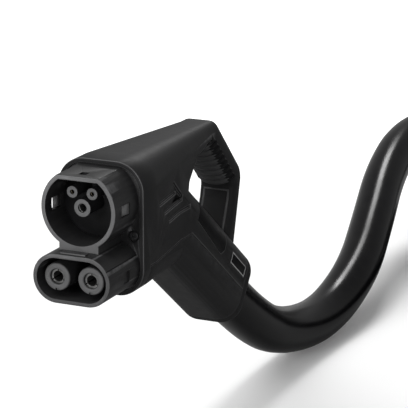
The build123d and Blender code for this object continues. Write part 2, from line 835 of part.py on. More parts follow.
def level_station(level, rise):
    """Station where a line at this rise above the leg's axis is at this height."""
    return (leg_end_z + rise * leg_cos - level) / leg_sin


bus_station = level_station(-dc_drop, conductor_rise)
busbar_rear = leg_point(bus_station, conductor_rise)[0]
for name, sign in (("plus", 1), ("minus", -1)):
    side = sign * dc_pitch / 2
    with BuildPart() as busbar:
        with BuildSketch(front(dc_tail)):
            with Locations((side, -dc_drop)):
                Rectangle(busbar_width, busbar_thickness)
        extrude(amount=-(busbar_rear - dc_tail))
        with BuildSketch(Plane.YZ.offset(side)):
            with BuildLine():
                Polyline(
                    (busbar_rear, -dc_drop - busbar_thickness / 2),
                    (busbar_rear, -dc_drop + busbar_thickness / 2),
                    leg_point(bus_station + conductor_diameter, conductor_rise + conductor_diameter / 2),
                    leg_point(bus_station + conductor_diameter, conductor_rise - conductor_diameter / 2),
                    close=True,
                )
            make_face()
        extrude(amount=busbar_width / 2, both=True)
    save(busbar, f"busbar_{name}")
    with BuildPart() as conductor:
        with BuildSketch(leg_plane(bus_station + conductor_diameter, side, conductor_rise)):
            Circle(conductor_diameter / 2)
        extrude(amount=lead_start - bus_station - conductor_diameter)
    save(conductor, f"dc_conductor_{name}")


def inner_line(start_y, start_z, rise, diameter, side=0.0):
    """Lead from behind a contact to the leg, then along it to the jacket."""
    turn = leg_point(-leg_hollow_start + inner_turn, rise)
    end = leg_point(lead_start, rise)
    middle = ((start_y + turn[0]) / 2, start_z)
    with BuildPart() as lead:
        with BuildLine() as route:
            FilletPolyline(
                (side, start_y, start_z), (side, middle[0], middle[1]),
                (side, turn[0], turn[1]), (side, end[0], end[1]), radius=2 * diameter,
            )
        with BuildSketch(Plane(origin=(side, start_y, start_z), z_dir=(0, 1, 0))):
            Circle(diameter / 2)
        sweep()
    return lead


pe_lead = inner_line(pe_socket_length, 0.0, pe_lead_rise, pe_lead_diameter)
save(pe_lead, "pe_lead")
board_back = signal_socket_length + board_thickness
signal_lead = inner_line(board_back, board_lift + board_height / 2, signal_lead_rise,
                         signal_lead_diameter)
save(signal_lead, "signal_lead")

with BuildPart() as sensor_board:
    with BuildSketch(front(signal_socket_length)):
        with Locations((0, board_lift + board_height / 2)):
            RectangleRounded(board_width, board_height, board_corner)
    extrude(amount=-board_thickness)
save(sensor_board, "sensor_board")

with BuildPart() as coolant_manifold:
    with BuildSketch(front(manifold_front)):
        with Locations((0, -dc_drop)):
            RectangleRounded(dc_pitch - busbar_width - 2 * piece_gap, manifold_height, 2)
    extrude(amount=-manifold_length)
save(coolant_manifold, "coolant_manifold")

manifold_back = manifold_front + manifold_length
with BuildPart() as coolant_hoses:
    for lift in (-manifold_height / 4, manifold_height / 4):
        level = -dc_drop + lift
        rise = conductor_rise + lift
        turn = leg_point(level_station(level, rise), rise)
        end = leg_point(lead_start, rise)
        with BuildLine() as route:
            FilletPolyline(
                (0, manifold_back, level), (0, turn[0], turn[1]), (0, end[0], end[1]),
                radius=1.5 * hose_diameter,
            )
        with BuildSketch(Plane(origin=(0, manifold_back, level), z_dir=(0, 1, 0))):
            Circle(hose_diameter / 2)
        sweep()
save(coolant_hoses, "coolant_hoses")


def leg_filling(start, length, low, high):
    """Block that fills the leg's hollow over a height band, across its axis."""
    gap = housing_wall + piece_gap
    with BuildPart() as block:
        with BuildSketch(leg_plane(start)):
            RectangleRounded(leg_width - 2 * gap, leg_height - 2 * gap, leg_corner - gap)
            with Locations((0, -(low + high) / 2)):
                Rectangle(leg_width, high - low, mode=Mode.INTERSECT)
        extrude(amount=length)
    return block.part


inner_lines = [
    (-dc_pitch / 2, conductor_rise, conductor_diameter),
    (dc_pitch / 2, conductor_rise, conductor_diameter),
    (0.0, conductor_rise - manifold_height / 4, hose_diameter),
    (0.0, conductor_rise + manifold_height / 4, hose_diameter),
    (0.0, pe_lead_rise, pe_lead_diameter),
    (0.0, signal_lead_rise, signal_lead_diameter),
]
for name, low, high in (
    ("clamp_lower", -leg_height / 2, conductor_rise),
    ("clamp_upper", conductor_rise, leg_height / 2),
):
    with BuildPart() as clamp:
        add(leg_filling(-clamp_front, clamp_length, low, high))
        for side, rise, diameter in inner_lines:
            with BuildSketch(leg_plane(-clamp_front - 1)):
                with Locations((side, -rise)):
                    Circle(diameter / 2 + fit_gap)
            extrude(amount=clamp_length + 2, mode=Mode.SUBTRACT)
    save(clamp, name)

with BuildPart() as cable_gland:
    add(leg_filling(lead_start, gland_length, -leg_height / 2, leg_height / 2))
    with BuildSketch(leg_plane(lead_start - 1)):
        Circle(lead_diameter / 2 + lead_gap)
    extrude(amount=gland_length + 2, mode=Mode.SUBTRACT)
save(cable_gland, "cable_gland")

# --------------------------------------------------------------------- lead
lead_level = floor_height + lead_diameter / 2
start_y, start_z = leg_point(lead_start)
entry_turn = math.radians(coil_entry_angle)
entry_out = Vector(math.cos(entry_turn), math.sin(entry_turn), 0)
entry_along = Vector(entry_out.Y, -entry_out.X, 0)
coil_entry = Vector(coil_x, coil_y, lead_level) + entry_out * coil_radii[0]
stops = [Vector(0, start_y, start_z), *[Vector(*p) for p in lead_route], coil_entry]
radii = []
for before, corner, after in zip(stops, stops[1:], stops[2:]):
    shorter = min((corner - before).length, (after - corner).length)
    half_turn = math.radians((corner - before).get_angle(after - corner) / 2)
    radii.append(0.45 * shorter / math.tan(half_turn))
print("lead radii", [round(r) for r in radii])
print("lead runs", [round((b - a).length) for a, b in zip(stops, stops[1:])])

last_run = (stops[-1] - stops[-2]).normalized()
with BuildPart() as cable_run:
    with BuildLine() as route:
        FilletPolyline(*stops[:-1], coil_entry + last_run * lead_diameter / 4, radius=radii)
    with BuildSketch(leg_plane(lead_start)):
        Circle(lead_diameter / 2)
    sweep()
    run_length = sum(edge.length for edge in route.edges())
    run_share = cable_run.part.volume / (run_length * math.pi * lead_diameter**2 / 4)
    # its end is trimmed square to the coil's face
    with BuildSketch(Plane(origin=coil_entry, z_dir=entry_along)):
        Circle(lead_diameter)
    extrude(amount=lead_diameter, mode=Mode.SUBTRACT)
print("lead run", run_length, run_share)
save(cable_run, "cable_run")


def turn_ring(middle_y, inner, outer, start_angle, sweep_angle):
    """Rounded ring of lead on the floor, swept clockwise as seen from above."""
    turn = math.radians(start_angle)
    out = (math.cos(turn), math.sin(turn), 0)
    with BuildPart() as ring:
        with BuildSketch(Plane(origin=(coil_x, middle_y, lead_level), x_dir=out,
                               z_dir=(out[1], -out[0], 0))):
            with Locations(((inner + outer) / 2, 0)):
                RectangleRounded(outer - inner, lead_diameter, lead_diameter / 2 - 0.5)
        revolve(axis=Axis((coil_x, middle_y, 0), (0, 0, -1)), revolution_arc=sweep_angle)
    return ring.part


first, second, third, fourth = coil_radii
half_lead = lead_diameter / 2
left_y = coil_y - first + second        # middle of the left-hand half turns
tail_y = coil_y - third + fourth        # middle of the innermost one
with BuildPart() as cable_coil:
    add(turn_ring(coil_y, third - half_lead, first + half_lead, coil_entry_angle,
                  coil_entry_angle + 90))
    add(turn_ring(coil_y, third - half_lead, third + half_lead, 90, 90 - coil_entry_angle))
    add(turn_ring(left_y, second - half_lead, second + half_lead, -90, 180))
    add(turn_ring(tail_y, fourth - half_lead, second, -90, coil_last_sweep))
save(cable_coil, "cable_coil")

end_turn = math.radians(-90 - coil_last_sweep)
end_out = (math.cos(end_turn), math.sin(end_turn))
end_along = (end_out[1], -end_out[0], 0)
with BuildPart() as cable_end_cap:
    with BuildSketch(Plane(
        origin=(coil_x + fourth * end_out[0], tail_y + fourth * end_out[1],
                floor_height + end_cap_diameter / 2),
        z_dir=end_along,
    )):
        Circle(end_cap_diameter / 2)
    extrude(amount=end_cap_length)
    fillet(cable_end_cap.faces().sort_by(Axis((0, 0, 0), end_along))[-1].edges(), end_cap_round)
save(cable_end_cap, "cable_end_cap")
coil_length = (math.radians(coil_entry_angle + 90) * first + math.pi * (second + third)
               + math.radians(coil_last_sweep) * fourth)
print("lead coil", coil_length, "whole lead", run_length + coil_length)
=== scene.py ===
"""Visual model of a high-power vehicle charging plug on its liquid-cooled lead.

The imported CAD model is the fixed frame. Every visible part of the plug gets a
dressed piece of its own here, and the sealed parts inside keep their CAD mesh
and take a finish.
"""

import logging
import math
from dataclasses import dataclass, field
from enum import Enum

import bmesh
import bpy
from mathutils import Matrix, Vector


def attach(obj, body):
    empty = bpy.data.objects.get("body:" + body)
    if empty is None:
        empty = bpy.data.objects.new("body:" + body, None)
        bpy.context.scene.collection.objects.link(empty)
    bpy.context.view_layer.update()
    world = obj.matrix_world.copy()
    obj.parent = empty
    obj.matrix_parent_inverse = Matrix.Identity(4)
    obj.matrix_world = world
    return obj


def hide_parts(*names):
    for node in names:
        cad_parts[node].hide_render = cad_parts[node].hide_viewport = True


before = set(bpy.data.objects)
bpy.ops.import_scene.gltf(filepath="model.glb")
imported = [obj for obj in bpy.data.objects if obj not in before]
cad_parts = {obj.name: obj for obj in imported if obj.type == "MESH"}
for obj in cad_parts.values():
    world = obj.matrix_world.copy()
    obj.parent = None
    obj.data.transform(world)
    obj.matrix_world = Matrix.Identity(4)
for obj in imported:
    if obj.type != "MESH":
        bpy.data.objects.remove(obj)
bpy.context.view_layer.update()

log = logging.getLogger("charging_plug")

BODY = "root"
MM = 0.001
MERGE_DISTANCE = 2e-6        # doubles in a CAD mesh, in metres
FLAT_ANGLE = 0.4             # degrees between triangles of one flat face
ROUNDED_ANGLE = 32.0         # degrees past which an edge is rounded
ROUNDED_STEPS = 2
DUST_COLOUR = (0.32, 0.31, 0.29)
MIX_INPUTS = (6, 7)          # a Mix node's colour sockets, which share their names with others
MIX_OUTPUT = 2
Point = tuple[float, float, float]
Colour = tuple[float, float, float]


def mm(*values: float) -> Vector:
    """Turn millimetres into a vector in metres."""
    return Vector(values) * MM


# ------------------------------------------------------------- shader groups
def node_group(name: str, inputs: dict[str, tuple[str, float]], outputs: dict[str, str]) -> bpy.types.NodeTree:
    """Make an empty shader node group with named sockets.

    Args:
        name: Name of the group.
        inputs: Socket type and default value for each input.
        outputs: Socket type for each output.

    Returns:
        The group, with its input and output nodes in place.
    """
    group = bpy.data.node_groups.new(name, "ShaderNodeTree")
    for label, (kind, value) in inputs.items():
        socket = group.interface.new_socket(label, in_out="INPUT", socket_type=kind)
        if kind == "NodeSocketFloat":
            socket.default_value = value
    for label, kind in outputs.items():
        group.interface.new_socket(label, in_out="OUTPUT", socket_type=kind)
    group.nodes.new("NodeGroupInput")
    group.nodes.new("NodeGroupOutput")
    return group


def math_node(tree: bpy.types.NodeTree, operation: str, first: object, second: object) -> bpy.types.NodeSocket:
    """Add a Math node and return its result.

    Args:
        tree: Tree that the node goes into.
        operation: Blender's name of the operation.
        first: Socket or number.
        second: Socket or number.

    Returns:
        The node's output socket.
    """
    node = tree.nodes.new("ShaderNodeMath")
    node.operation = operation
    for socket, value in zip(node.inputs, (first, second)):
        if isinstance(value, bpy.types.NodeSocket):
            tree.links.new(value, socket)
        else:
            socket.default_value = value
    return node.outputs[0]


def remap(tree: bpy.types.NodeTree, value: bpy.types.NodeSocket, low: float, high: float) -> bpy.types.NodeSocket:
    """Stretch low..high of a value to 0..1, clamped.

    Args:
        tree: Tree that the node goes into.
        value: The socket to stretch.
        low: Value that becomes 0.
        high: Value that becomes 1.

    Returns:
        The stretched value's socket.
    """
    node = tree.nodes.new("ShaderNodeMapRange")
    tree.links.new(value, node.inputs["Value"])
    node.inputs["From Min"].default_value = low
    node.inputs["From Max"].default_value = high
    return node.outputs["Result"]


def moulded_grain(
    softness: float = 0.6, cloud_share: float = 0.06, cloud_range: tuple[float, float] = (0.35, 0.65),
) -> bpy.types.NodeTree:
    """Build the group for the fine pitted texture of a spark-eroded mould.

    Args:
        softness: How far neighbouring pits melt together.
        cloud_share: Scale of the broad mottling, as a share of the grain's.
        cloud_range: Noise values between which the mottling runs.

    Returns:
        The group, with inputs Vector and Scale and outputs Height and Shade.
    """
    group = node_group(
        "Moulded_Grain",
        {"Vector": ("NodeSocketVector", 0.0), "Scale": ("NodeSocketFloat", 1800.0)},
        {"Height": "NodeSocketFloat", "Shade": "NodeSocketFloat"},
    )
    nodes, links = group.nodes, group.links
    given, result = nodes["Group Input"], nodes["Group Output"]
    pits = nodes.new("ShaderNodeTexVoronoi")
    pits.feature = "SMOOTH_F1"
    pits.inputs["Smoothness"].default_value = softness
    cloud = nodes.new("ShaderNodeTexNoise")
    cloud.inputs["Detail"].default_value = 3.0
    links.new(given.outputs["Vector"], pits.inputs["Vector"])
    links.new(given.outputs["Vector"], cloud.inputs["Vector"])
    links.new(given.outputs["Scale"], pits.inputs["Scale"])
    links.new(math_node(group, "MULTIPLY", given.outputs["Scale"], cloud_share), cloud.inputs["Scale"])
    links.new(pits.outputs["Distance"], result.inputs["Height"])
    links.new(remap(group, cloud.outputs["Fac"], *cloud_range), result.inputs["Shade"])
    return group


def edge_wear_and_sheen(
    sharp: tuple[float, float] = (0.54, 0.64), patches: tuple[float, float] = (0.3, 0.7), scale: float = 160.0,
) -> bpy.types.NodeTree:
    """Build the group for lighter convex edges, partly abrasion from handling and partly a painted highlight.

    Args:
        sharp: Pointiness at which the lightening starts and is full.
        patches: Noise values at which a patch starts and is full.
        scale: Scale of the patches.

    Returns:
        The group, with inputs Vector and Amount and output Mask.
    """
    group = node_group(
        "Edge_Wear",
        {"Vector": ("NodeSocketVector", 0.0), "Amount": ("NodeSocketFloat", 0.3)},
        {"Mask": "NodeSocketFloat"},
    )
    nodes, links = group.nodes, group.links
    given, result = nodes["Group Input"], nodes["Group Output"]
    shape = nodes.new("ShaderNodeNewGeometry")
    wear_and_sheen = nodes.new("ShaderNodeTexNoise")
    wear_and_sheen.inputs["Scale"].default_value = scale
    wear_and_sheen.inputs["Detail"].default_value = 4.0
    links.new(given.outputs["Vector"], wear_and_sheen.inputs["Vector"])
    edge = remap(group, shape.outputs["Pointiness"], *sharp)
    patchy = math_node(group, "MULTIPLY", edge, remap(group, wear_and_sheen.outputs["Fac"], *patches))
    links.new(math_node(group, "MULTIPLY", patchy, given.outputs["Amount"]), result.inputs["Mask"])
    return group


def settled_dust(
    upright: tuple[float, float] = (0.2, 1.0), patches: tuple[float, float] = (0.3, 0.8), scale: float = 90.0,
) -> bpy.types.NodeTree:
    """Build the group for the faint dust on surfaces that face up.

    Args:
        upright: Upward share of the normal at which dust starts and is full.
        patches: Noise values at which a patch starts and is full.
        scale: Scale of the patches.

    Returns:
        The group, with inputs Vector and Amount and output Mask.
    """
    group = node_group(
        "Settled_Dust",
        {"Vector": ("NodeSocketVector", 0.0), "Amount": ("NodeSocketFloat", 0.1)},
        {"Mask": "NodeSocketFloat"},
    )
    nodes, links = group.nodes, group.links
    given, result = nodes["Group Input"], nodes["Group Output"]
    shape = nodes.new("ShaderNodeNewGeometry")
    split = nodes.new("ShaderNodeSeparateXYZ")
    speck = nodes.new("ShaderNodeTexNoise")
    speck.inputs["Scale"].default_value = scale
    speck.inputs["Detail"].default_value = 6.0
    links.new(shape.outputs["Normal"], split.inputs["Vector"])
    links.new(given.outputs["Vector"], speck.inputs["Vector"])
    upward = remap(group, split.outputs["Z"], *upright)
    patchy = math_node(group, "MULTIPLY", upward, remap(group, speck.outputs["Fac"], *patches))
    links.new(math_node(group, "MULTIPLY", patchy, given.outputs["Amount"]), result.inputs["Mask"])
    return group


def front_face_highlight(
    facing_front: tuple[float, float] = (0.45, 0.9),
    fade: float = 0.0008,
    grain: tuple[float, float] = (0.75, 0.4),
    low_share: float = 0.5,
    low: float = -0.042,
    high: float = -0.018,
) -> bpy.types.NodeTree:
    """Build the group for a painted highlight on front faces, weaker on the lower shroud.

    Args:
        facing_front: Forward share of the normal at which the painted highlight starts and is full.
        fade: Depth over which the painted highlight fades out, in metres.
        grain: Base of the painted highlight, and how much the noise adds.
        low_share: Painted highlight on the lower shroud, as a share of the upper one's.
        low: Height below which the lower share holds, in metres.
        high: Height above which the painted highlight is full, in metres.

    Returns:
        The group, with inputs Vector, Amount and Depth (how far back from the
        front face the painted highlight reaches) and output Mask.
    """
    group = node_group(
        "Mating_Rub",
        {"Vector": ("NodeSocketVector", 0.0), "Amount": ("NodeSocketFloat", 0.0), "Depth": ("NodeSocketFloat", 0.0)},
        {"Mask": "NodeSocketFloat"},
    )
    nodes, links = group.nodes, group.links
    given, result = nodes["Group Input"], nodes["Group Output"]
    shape = nodes.new("ShaderNodeNewGeometry")
    facing = nodes.new("ShaderNodeSeparateXYZ")
    place = nodes.new("ShaderNodeSeparateXYZ")
    highlight_noise = nodes.new("ShaderNodeTexNoise")
    highlight_noise.inputs["Scale"].default_value = 120.0
    highlight_noise.inputs["Detail"].default_value = 5.0
    links.new(shape.outputs["Normal"], facing.inputs["Vector"])
    links.new(given.outputs["Vector"], place.inputs["Vector"])
    links.new(given.outputs["Vector"], highlight_noise.inputs["Vector"])
    forward = remap(group, math_node(group, "MULTIPLY", facing.outputs["Y"], -1.0), *facing_front)
    near = remap(group, math_node(group, "SUBTRACT", given.outputs["Depth"], place.outputs["Y"]), 0.0, fade)
    uneven = math_node(group, "ADD", math_node(group, "MULTIPLY", highlight_noise.outputs["Fac"], grain[1]), grain[0])
    upper = remap(group, place.outputs["Z"], low, high)
    level = math_node(group, "ADD", math_node(group, "MULTIPLY", upper, 1.0 - low_share), low_share)
    mask = math_node(group, "MULTIPLY", math_node(group, "MULTIPLY", forward, near), uneven)
    mask = math_node(group, "MULTIPLY", mask, level)
    links.new(math_node(group, "MULTIPLY", mask, given.outputs["Amount"]), result.inputs["Mask"])
    return group


GROUPS = {build.__name__: build() for build in (moulded_grain, edge_wear_and_sheen, settled_dust, front_face_highlight)}


@dataclass(frozen=True)
class Finish:
    """One material's colour, surface, handling marks and painted highlights.

    Lengths are in metres, colours are linear.
    """

    name: str
    slot: str
    colour: Colour
    roughness: float
    metallic: float = 0.0
    specular: float = 0.12
    grain_scale: float = 1800.0
    grain_depth: float = 0.00003
    mottle: float = 0.06
    # Edge colour and amount: partly abrasion, partly a painted highlight on convex edges.
    wear_and_sheen_colour: Colour = (0.12, 0.12, 0.125)
    wear_and_sheen: float = 0.25
    dust: float = 0.012
    rough_swing: float = 0.04
    # Front faces: colour, amount and depth of a painted highlight.
    front_highlight: float = 0.0
    front_highlight_depth: float = 0.0
    front_highlight_colour: Colour = (0.20, 0.20, 0.202)

    def make(self) -> bpy.types.Material:
        """Build the node material, once.

        Returns:
            The material of this finish.
        """
        found = bpy.data.materials.get(self.name)
        if found:
            return found
        material = bpy.data.materials.new(self.name)
        material.use_nodes = True
        tree = material.node_tree
        shader = tree.nodes["Principled BSDF"]
        shader.inputs["Metallic"].default_value = self.metallic
        shader.inputs["Specular IOR Level"].default_value = self.specular
        where = tree.nodes.new("ShaderNodeTexCoord").outputs["Object"]
        grain = self._place(tree, "moulded_grain", where, Scale=self.grain_scale)
        wear_sheen_group = self._place(tree, "edge_wear_and_sheen", where, Amount=self.wear_and_sheen)
        dust = self._place(tree, "settled_dust", where, Amount=self.dust)
        dark = tuple(c * (1.0 - self.mottle) for c in self.colour)
        light = tuple(c * (1.0 + self.mottle) for c in self.colour)
        body = self._mix(tree, grain.outputs["Shade"], dark, light)
        # Front faces get a painted highlight.
        if self.front_highlight:
            front = self._place(tree, "front_face_highlight", where, Amount=self.front_highlight, Depth=self.front_highlight_depth)
            body = self._mix(tree, front.outputs["Mask"], body, self.front_highlight_colour)
        # Convex edges lighter: partly abrasion, partly a painted highlight.
        abraded_and_sheened = self._mix(tree, wear_sheen_group.outputs["Mask"], body, self.wear_and_sheen_colour)
        dusty = self._mix(tree, dust.outputs["Mask"], abraded_and_sheened, DUST_COLOUR)
        tree.links.new(dusty, shader.inputs["Base Color"])
        swing = math_node(tree, "MULTIPLY", grain.outputs["Shade"], self.rough_swing)
        tree.links.new(math_node(tree, "ADD", swing, self.roughness), shader.inputs["Roughness"])
        bump = tree.nodes.new("ShaderNodeBump")
        bump.inputs["Distance"].default_value = self.grain_depth
        tree.links.new(grain.outputs["Height"], bump.inputs["Height"])
        tree.links.new(bump.outputs["Normal"], shader.inputs["Normal"])
        return material

    @staticmethod
    def _place(
        tree: bpy.types.NodeTree, group: str, where: bpy.types.NodeSocket, **values: float,
    ) -> bpy.types.Node:
        """Put a shared group into a material's tree and set its inputs.

        Args:
            tree: The material's tree.
            group: Name of the function that built the group.
            where: Socket that gives the place on the piece.
            values: Value of each of the group's other inputs.

        Returns:
            The group's node.
        """
        node = tree.nodes.new("ShaderNodeGroup")
        node.node_tree = GROUPS[group]
        tree.links.new(where, node.inputs["Vector"])
        for label, value in values.items():
            node.inputs[label].default_value = value
        return node

    @staticmethod
    def _mix(
        tree: bpy.types.NodeTree, mask: bpy.types.NodeSocket, first: object, second: object,
    ) -> bpy.types.NodeSocket:
        """Mix two colours by a mask.

        Args:
            tree: The material's tree.
            mask: Socket that is 0 for the first colour and 1 for the second.
            first: Socket or triple.
            second: Socket or triple.

        Returns:
            The mixed colour's socket.
        """
        node = tree.nodes.new("ShaderNodeMix")
        node.data_type = "RGBA"
        tree.links.new(mask, node.inputs["Factor"])
        for index, value in zip(MIX_INPUTS, (first, second)):
            if isinstance(value, bpy.types.NodeSocket):
                tree.links.new(value, node.inputs[index])
            else:
                node.inputs[index].default_value = (*value, 1.0)
        return node.outputs[MIX_OUTPUT]


# The strong edge lightening of the body and frame is partly abrasion, partly a painted highlight.
BODY_BLACK = Finish(
    "Body_Black", "shell_plastic", (0.018, 0.018, 0.0185), 0.48, specular=0.05, wear_and_sheen=0.8,
    wear_and_sheen_colour=(0.16, 0.16, 0.163),
)
# The frame, carrier and guards below get a painted highlight on their front faces.
FRAME_GREY = Finish(
    "Frame_Grey", "frame_plastic", (0.014, 0.014, 0.0145), 0.40, specular=0.14, wear_and_sheen=0.5,
    wear_and_sheen_colour=(0.20, 0.20, 0.205), front_highlight=1.0, front_highlight_depth=-0.004, front_highlight_colour=(0.125, 0.125, 0.127),
)
CARRIER_BLACK = Finish(
    "Carrier_Black", "carrier_plastic", (0.008, 0.008, 0.0085), 0.42,
    front_highlight=1.0, front_highlight_depth=0.003, front_highlight_colour=(0.125, 0.125, 0.127),
)
GUARD_GREY = Finish(
    "Guard_Grey", "carrier_plastic", (0.016, 0.016, 0.0165), 0.40, specular=0.15,
    front_highlight=1.0, front_highlight_depth=0.006, front_highlight_colour=(0.19, 0.19, 0.192),
)
GRIP_RUBBER = Finish(
    "Grip_Rubber", "grip_rubber", (0.046, 0.046, 0.047), 0.50, grain_scale=2600, wear_and_sheen=0.1,
)
GRIP_BASE = Finish(
    "Grip_Base", "grip_rubber", (0.010, 0.010, 0.0105), 0.6, specular=0.06, grain_scale=2600, wear_and_sheen=0.1,
)
INLAY_GLOSS = Finish(
    "Inlay_Gloss", "inlay_gloss", (0.006, 0.006, 0.0065), 0.42, specular=0.03, grain_depth=0.000004, wear_and_sheen=0.1,
)
LABEL_TRIM = Finish("Label_Trim", "inlay_gloss", (0.42, 0.42, 0.42), 0.5, wear_and_sheen=0.0)
CATCH_GREY = Finish("Catch_Grey", "frame_plastic", (0.14, 0.14, 0.141), 0.40, specular=0.3)
# The three edge finishes below are lighter than their pieces' finishes: a painted highlight on rounded edges.
BODY_EDGE = Finish("Body_Edge", "shell_plastic", (0.045, 0.045, 0.046), 0.36, specular=0.30, grain_depth=0.00001)
SEAM_EDGE = Finish("Seam_Edge", "shell_plastic", (0.030, 0.030, 0.031), 0.42, specular=0.15, grain_depth=0.00001)
FRAME_EDGE = Finish("Frame_Edge", "frame_plastic", (0.11, 0.11, 0.112), 0.34, specular=0.45, grain_depth=0.00001)
# The bead is lighter than the bar's finish: a painted highlight line.
PANEL_BEAD = Finish("Panel_Bead", "shell_plastic", (0.05, 0.05, 0.051), 0.36, specular=0.3)
SEAL_RUBBER = Finish("Seal_Rubber", "seal_rubber", (0.008, 0.008, 0.008), 0.7)
SCREW_STEEL = Finish("Screw_Steel", "screw_steel", (0.05, 0.05, 0.052), 0.40, metallic=0.8, wear_and_sheen=0.5)
CONTACT_SILVER = Finish("Contact_Silver", "contact_silver", (0.16, 0.16, 0.158), 0.38, metallic=1.0, dust=0.0)
CONTACT_BRASS = Finish("Contact_Brass", "contact_brass", (0.14, 0.125, 0.095), 0.36, metallic=1.0, dust=0.0)
COPPER_BAR = Finish("Copper_Bar", "copper_bar", (0.72, 0.35, 0.2), 0.35, metallic=1.0)
BOARD_GREEN = Finish("Board_Green", "board_green", (0.02, 0.12, 0.04), 0.4)
CONDUCTOR_RED = Finish("Conductor_Sleeve", "conductor_sleeve", (0.35, 0.03, 0.02), 0.45)
CONDUCTOR_BLACK = Finish("Conductor_Black", "conductor_black", (0.02, 0.02, 0.02), 0.45)
EARTH_SLEEVE = Finish("Earth_Sleeve", "pe_sleeve", (0.12, 0.35, 0.03), 0.45)
SIGNAL_SLEEVE = Finish("Signal_Sleeve", "signal_sleeve", (0.3, 0.3, 0.3), 0.5)
HOSE_BLUE = Finish("Hose_Blue", "hose_blue", (0.03, 0.12, 0.35), 0.4)
CLAMP_PLASTIC = Finish("Clamp_Plastic", "clamp_plastic", (0.05, 0.05, 0.05), 0.5)
JACKET = Finish(
    "Cable_Jacket", "cable_jacket", (0.003, 0.003, 0.0035), 0.20, specular=0.08,
    grain_scale=900, grain_depth=0.000012, wear_and_sheen=0.0,
)

SEALED_PARTS: dict[str, Finish] = {
    "busbar_plus": COPPER_BAR,
    "busbar_minus": COPPER_BAR,
    "dc_conductor_plus": CONDUCTOR_RED,
    "dc_conductor_minus": CONDUCTOR_BLACK,
    "pe_lead": EARTH_SLEEVE,
    "signal_lead": SIGNAL_SLEEVE,
    "sensor_board": BOARD_GREEN,
    "coolant_manifold": CLAMP_PLASTIC,
    "coolant_hoses": HOSE_BLUE,
    "clamp_lower": CLAMP_PLASTIC,
    "clamp_upper": CLAMP_PLASTIC,
    "cable_gland": SEAL_RUBBER,
}


# ------------------------------------------------------------------- pieces
def new_object(name: str, data: bpy.types.ID) -> bpy.types.Object:
    """Make an object of some data and link it to the scene.

    Args:
        name: Name of the object.
        data: Its mesh, curve, light or camera.

    Returns:
        The object.
    """
    made = bpy.data.objects.new(name, data)
    bpy.context.scene.collection.objects.link(made)
    return made


def merged_copy(node: str, name: str) -> tuple[bpy.types.Mesh, bmesh.types.BMesh]:
    """Copy a CAD node's mesh and open it with its doubles merged.

    Args:
        node: Name of the CAD node.
        name: Name of the copy.

    Returns:
        The copy, and the open mesh to write back into it.
    """
    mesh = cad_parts[node].data.copy()
    mesh.name = name
    work = bmesh.new()
    work.from_mesh(mesh)
    bmesh.ops.remove_doubles(work, verts=work.verts, dist=MERGE_DISTANCE)
    return mesh, work


def add_piece(name: str, mesh: bpy.types.Mesh, finish: Finish, *nodes: str) -> bpy.types.Object:
    """Make an object of a mesh, with its finish, body and replaced CAD nodes.

    Args:
        name: Name of the piece.
        mesh: Its mesh, in the frame's place.
        finish: The finish that it takes.
        nodes: CAD nodes that it stands for.

    Returns:
        The new piece.
    """
    piece = new_object(name, mesh)
    mesh.materials.clear()
    mesh.materials.append(finish.make())
    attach(piece, BODY)
    if nodes:
        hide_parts(*nodes)
    log.info("%s: %d faces, %s", name, len(mesh.polygons), finish.name)
    return piece


def dressed(
    node: str, finish: Finish, edge: float, edge_highlight: Finish | None = None, clamp: bool = True,
) -> bpy.types.Object:
    """Copy a CAD node, merge its triangles and round its edges.

    Args:
        node: Name of the CAD node.
        finish: The finish that the piece takes.
        edge: Width of the rounded edge, in millimetres.
        edge_highlight: The finish of the rounded edges, lighter than the piece's as a painted highlight.
        clamp: Whether the node's shortest edge limits the width of every rounded edge.

    Returns:
        The new piece, which stands for the node.
    """
    mesh, work = merged_copy(node, node + "_form")
    bmesh.ops.dissolve_limit(work, angle_limit=math.radians(FLAT_ANGLE), verts=work.verts, edges=work.edges)
    work.to_mesh(mesh)
    work.free()
    mesh.shade_smooth()
    piece = add_piece(node + "_skin", mesh, finish, node)
    bevel = piece.modifiers.new("Edges", "BEVEL")
    bevel.width = edge * MM
    bevel.segments = ROUNDED_STEPS
    bevel.limit_method = "ANGLE"
    bevel.angle_limit = math.radians(ROUNDED_ANGLE)
    bevel.use_clamp_overlap = clamp
    bevel.miter_outer = "MITER_ARC"
    bevel.harden_normals = True
    # Rounded edges take the lighter finish, a painted highlight.
    if edge_highlight:
        mesh.materials.append(edge_highlight.make())
        bevel.material = 1
    return piece


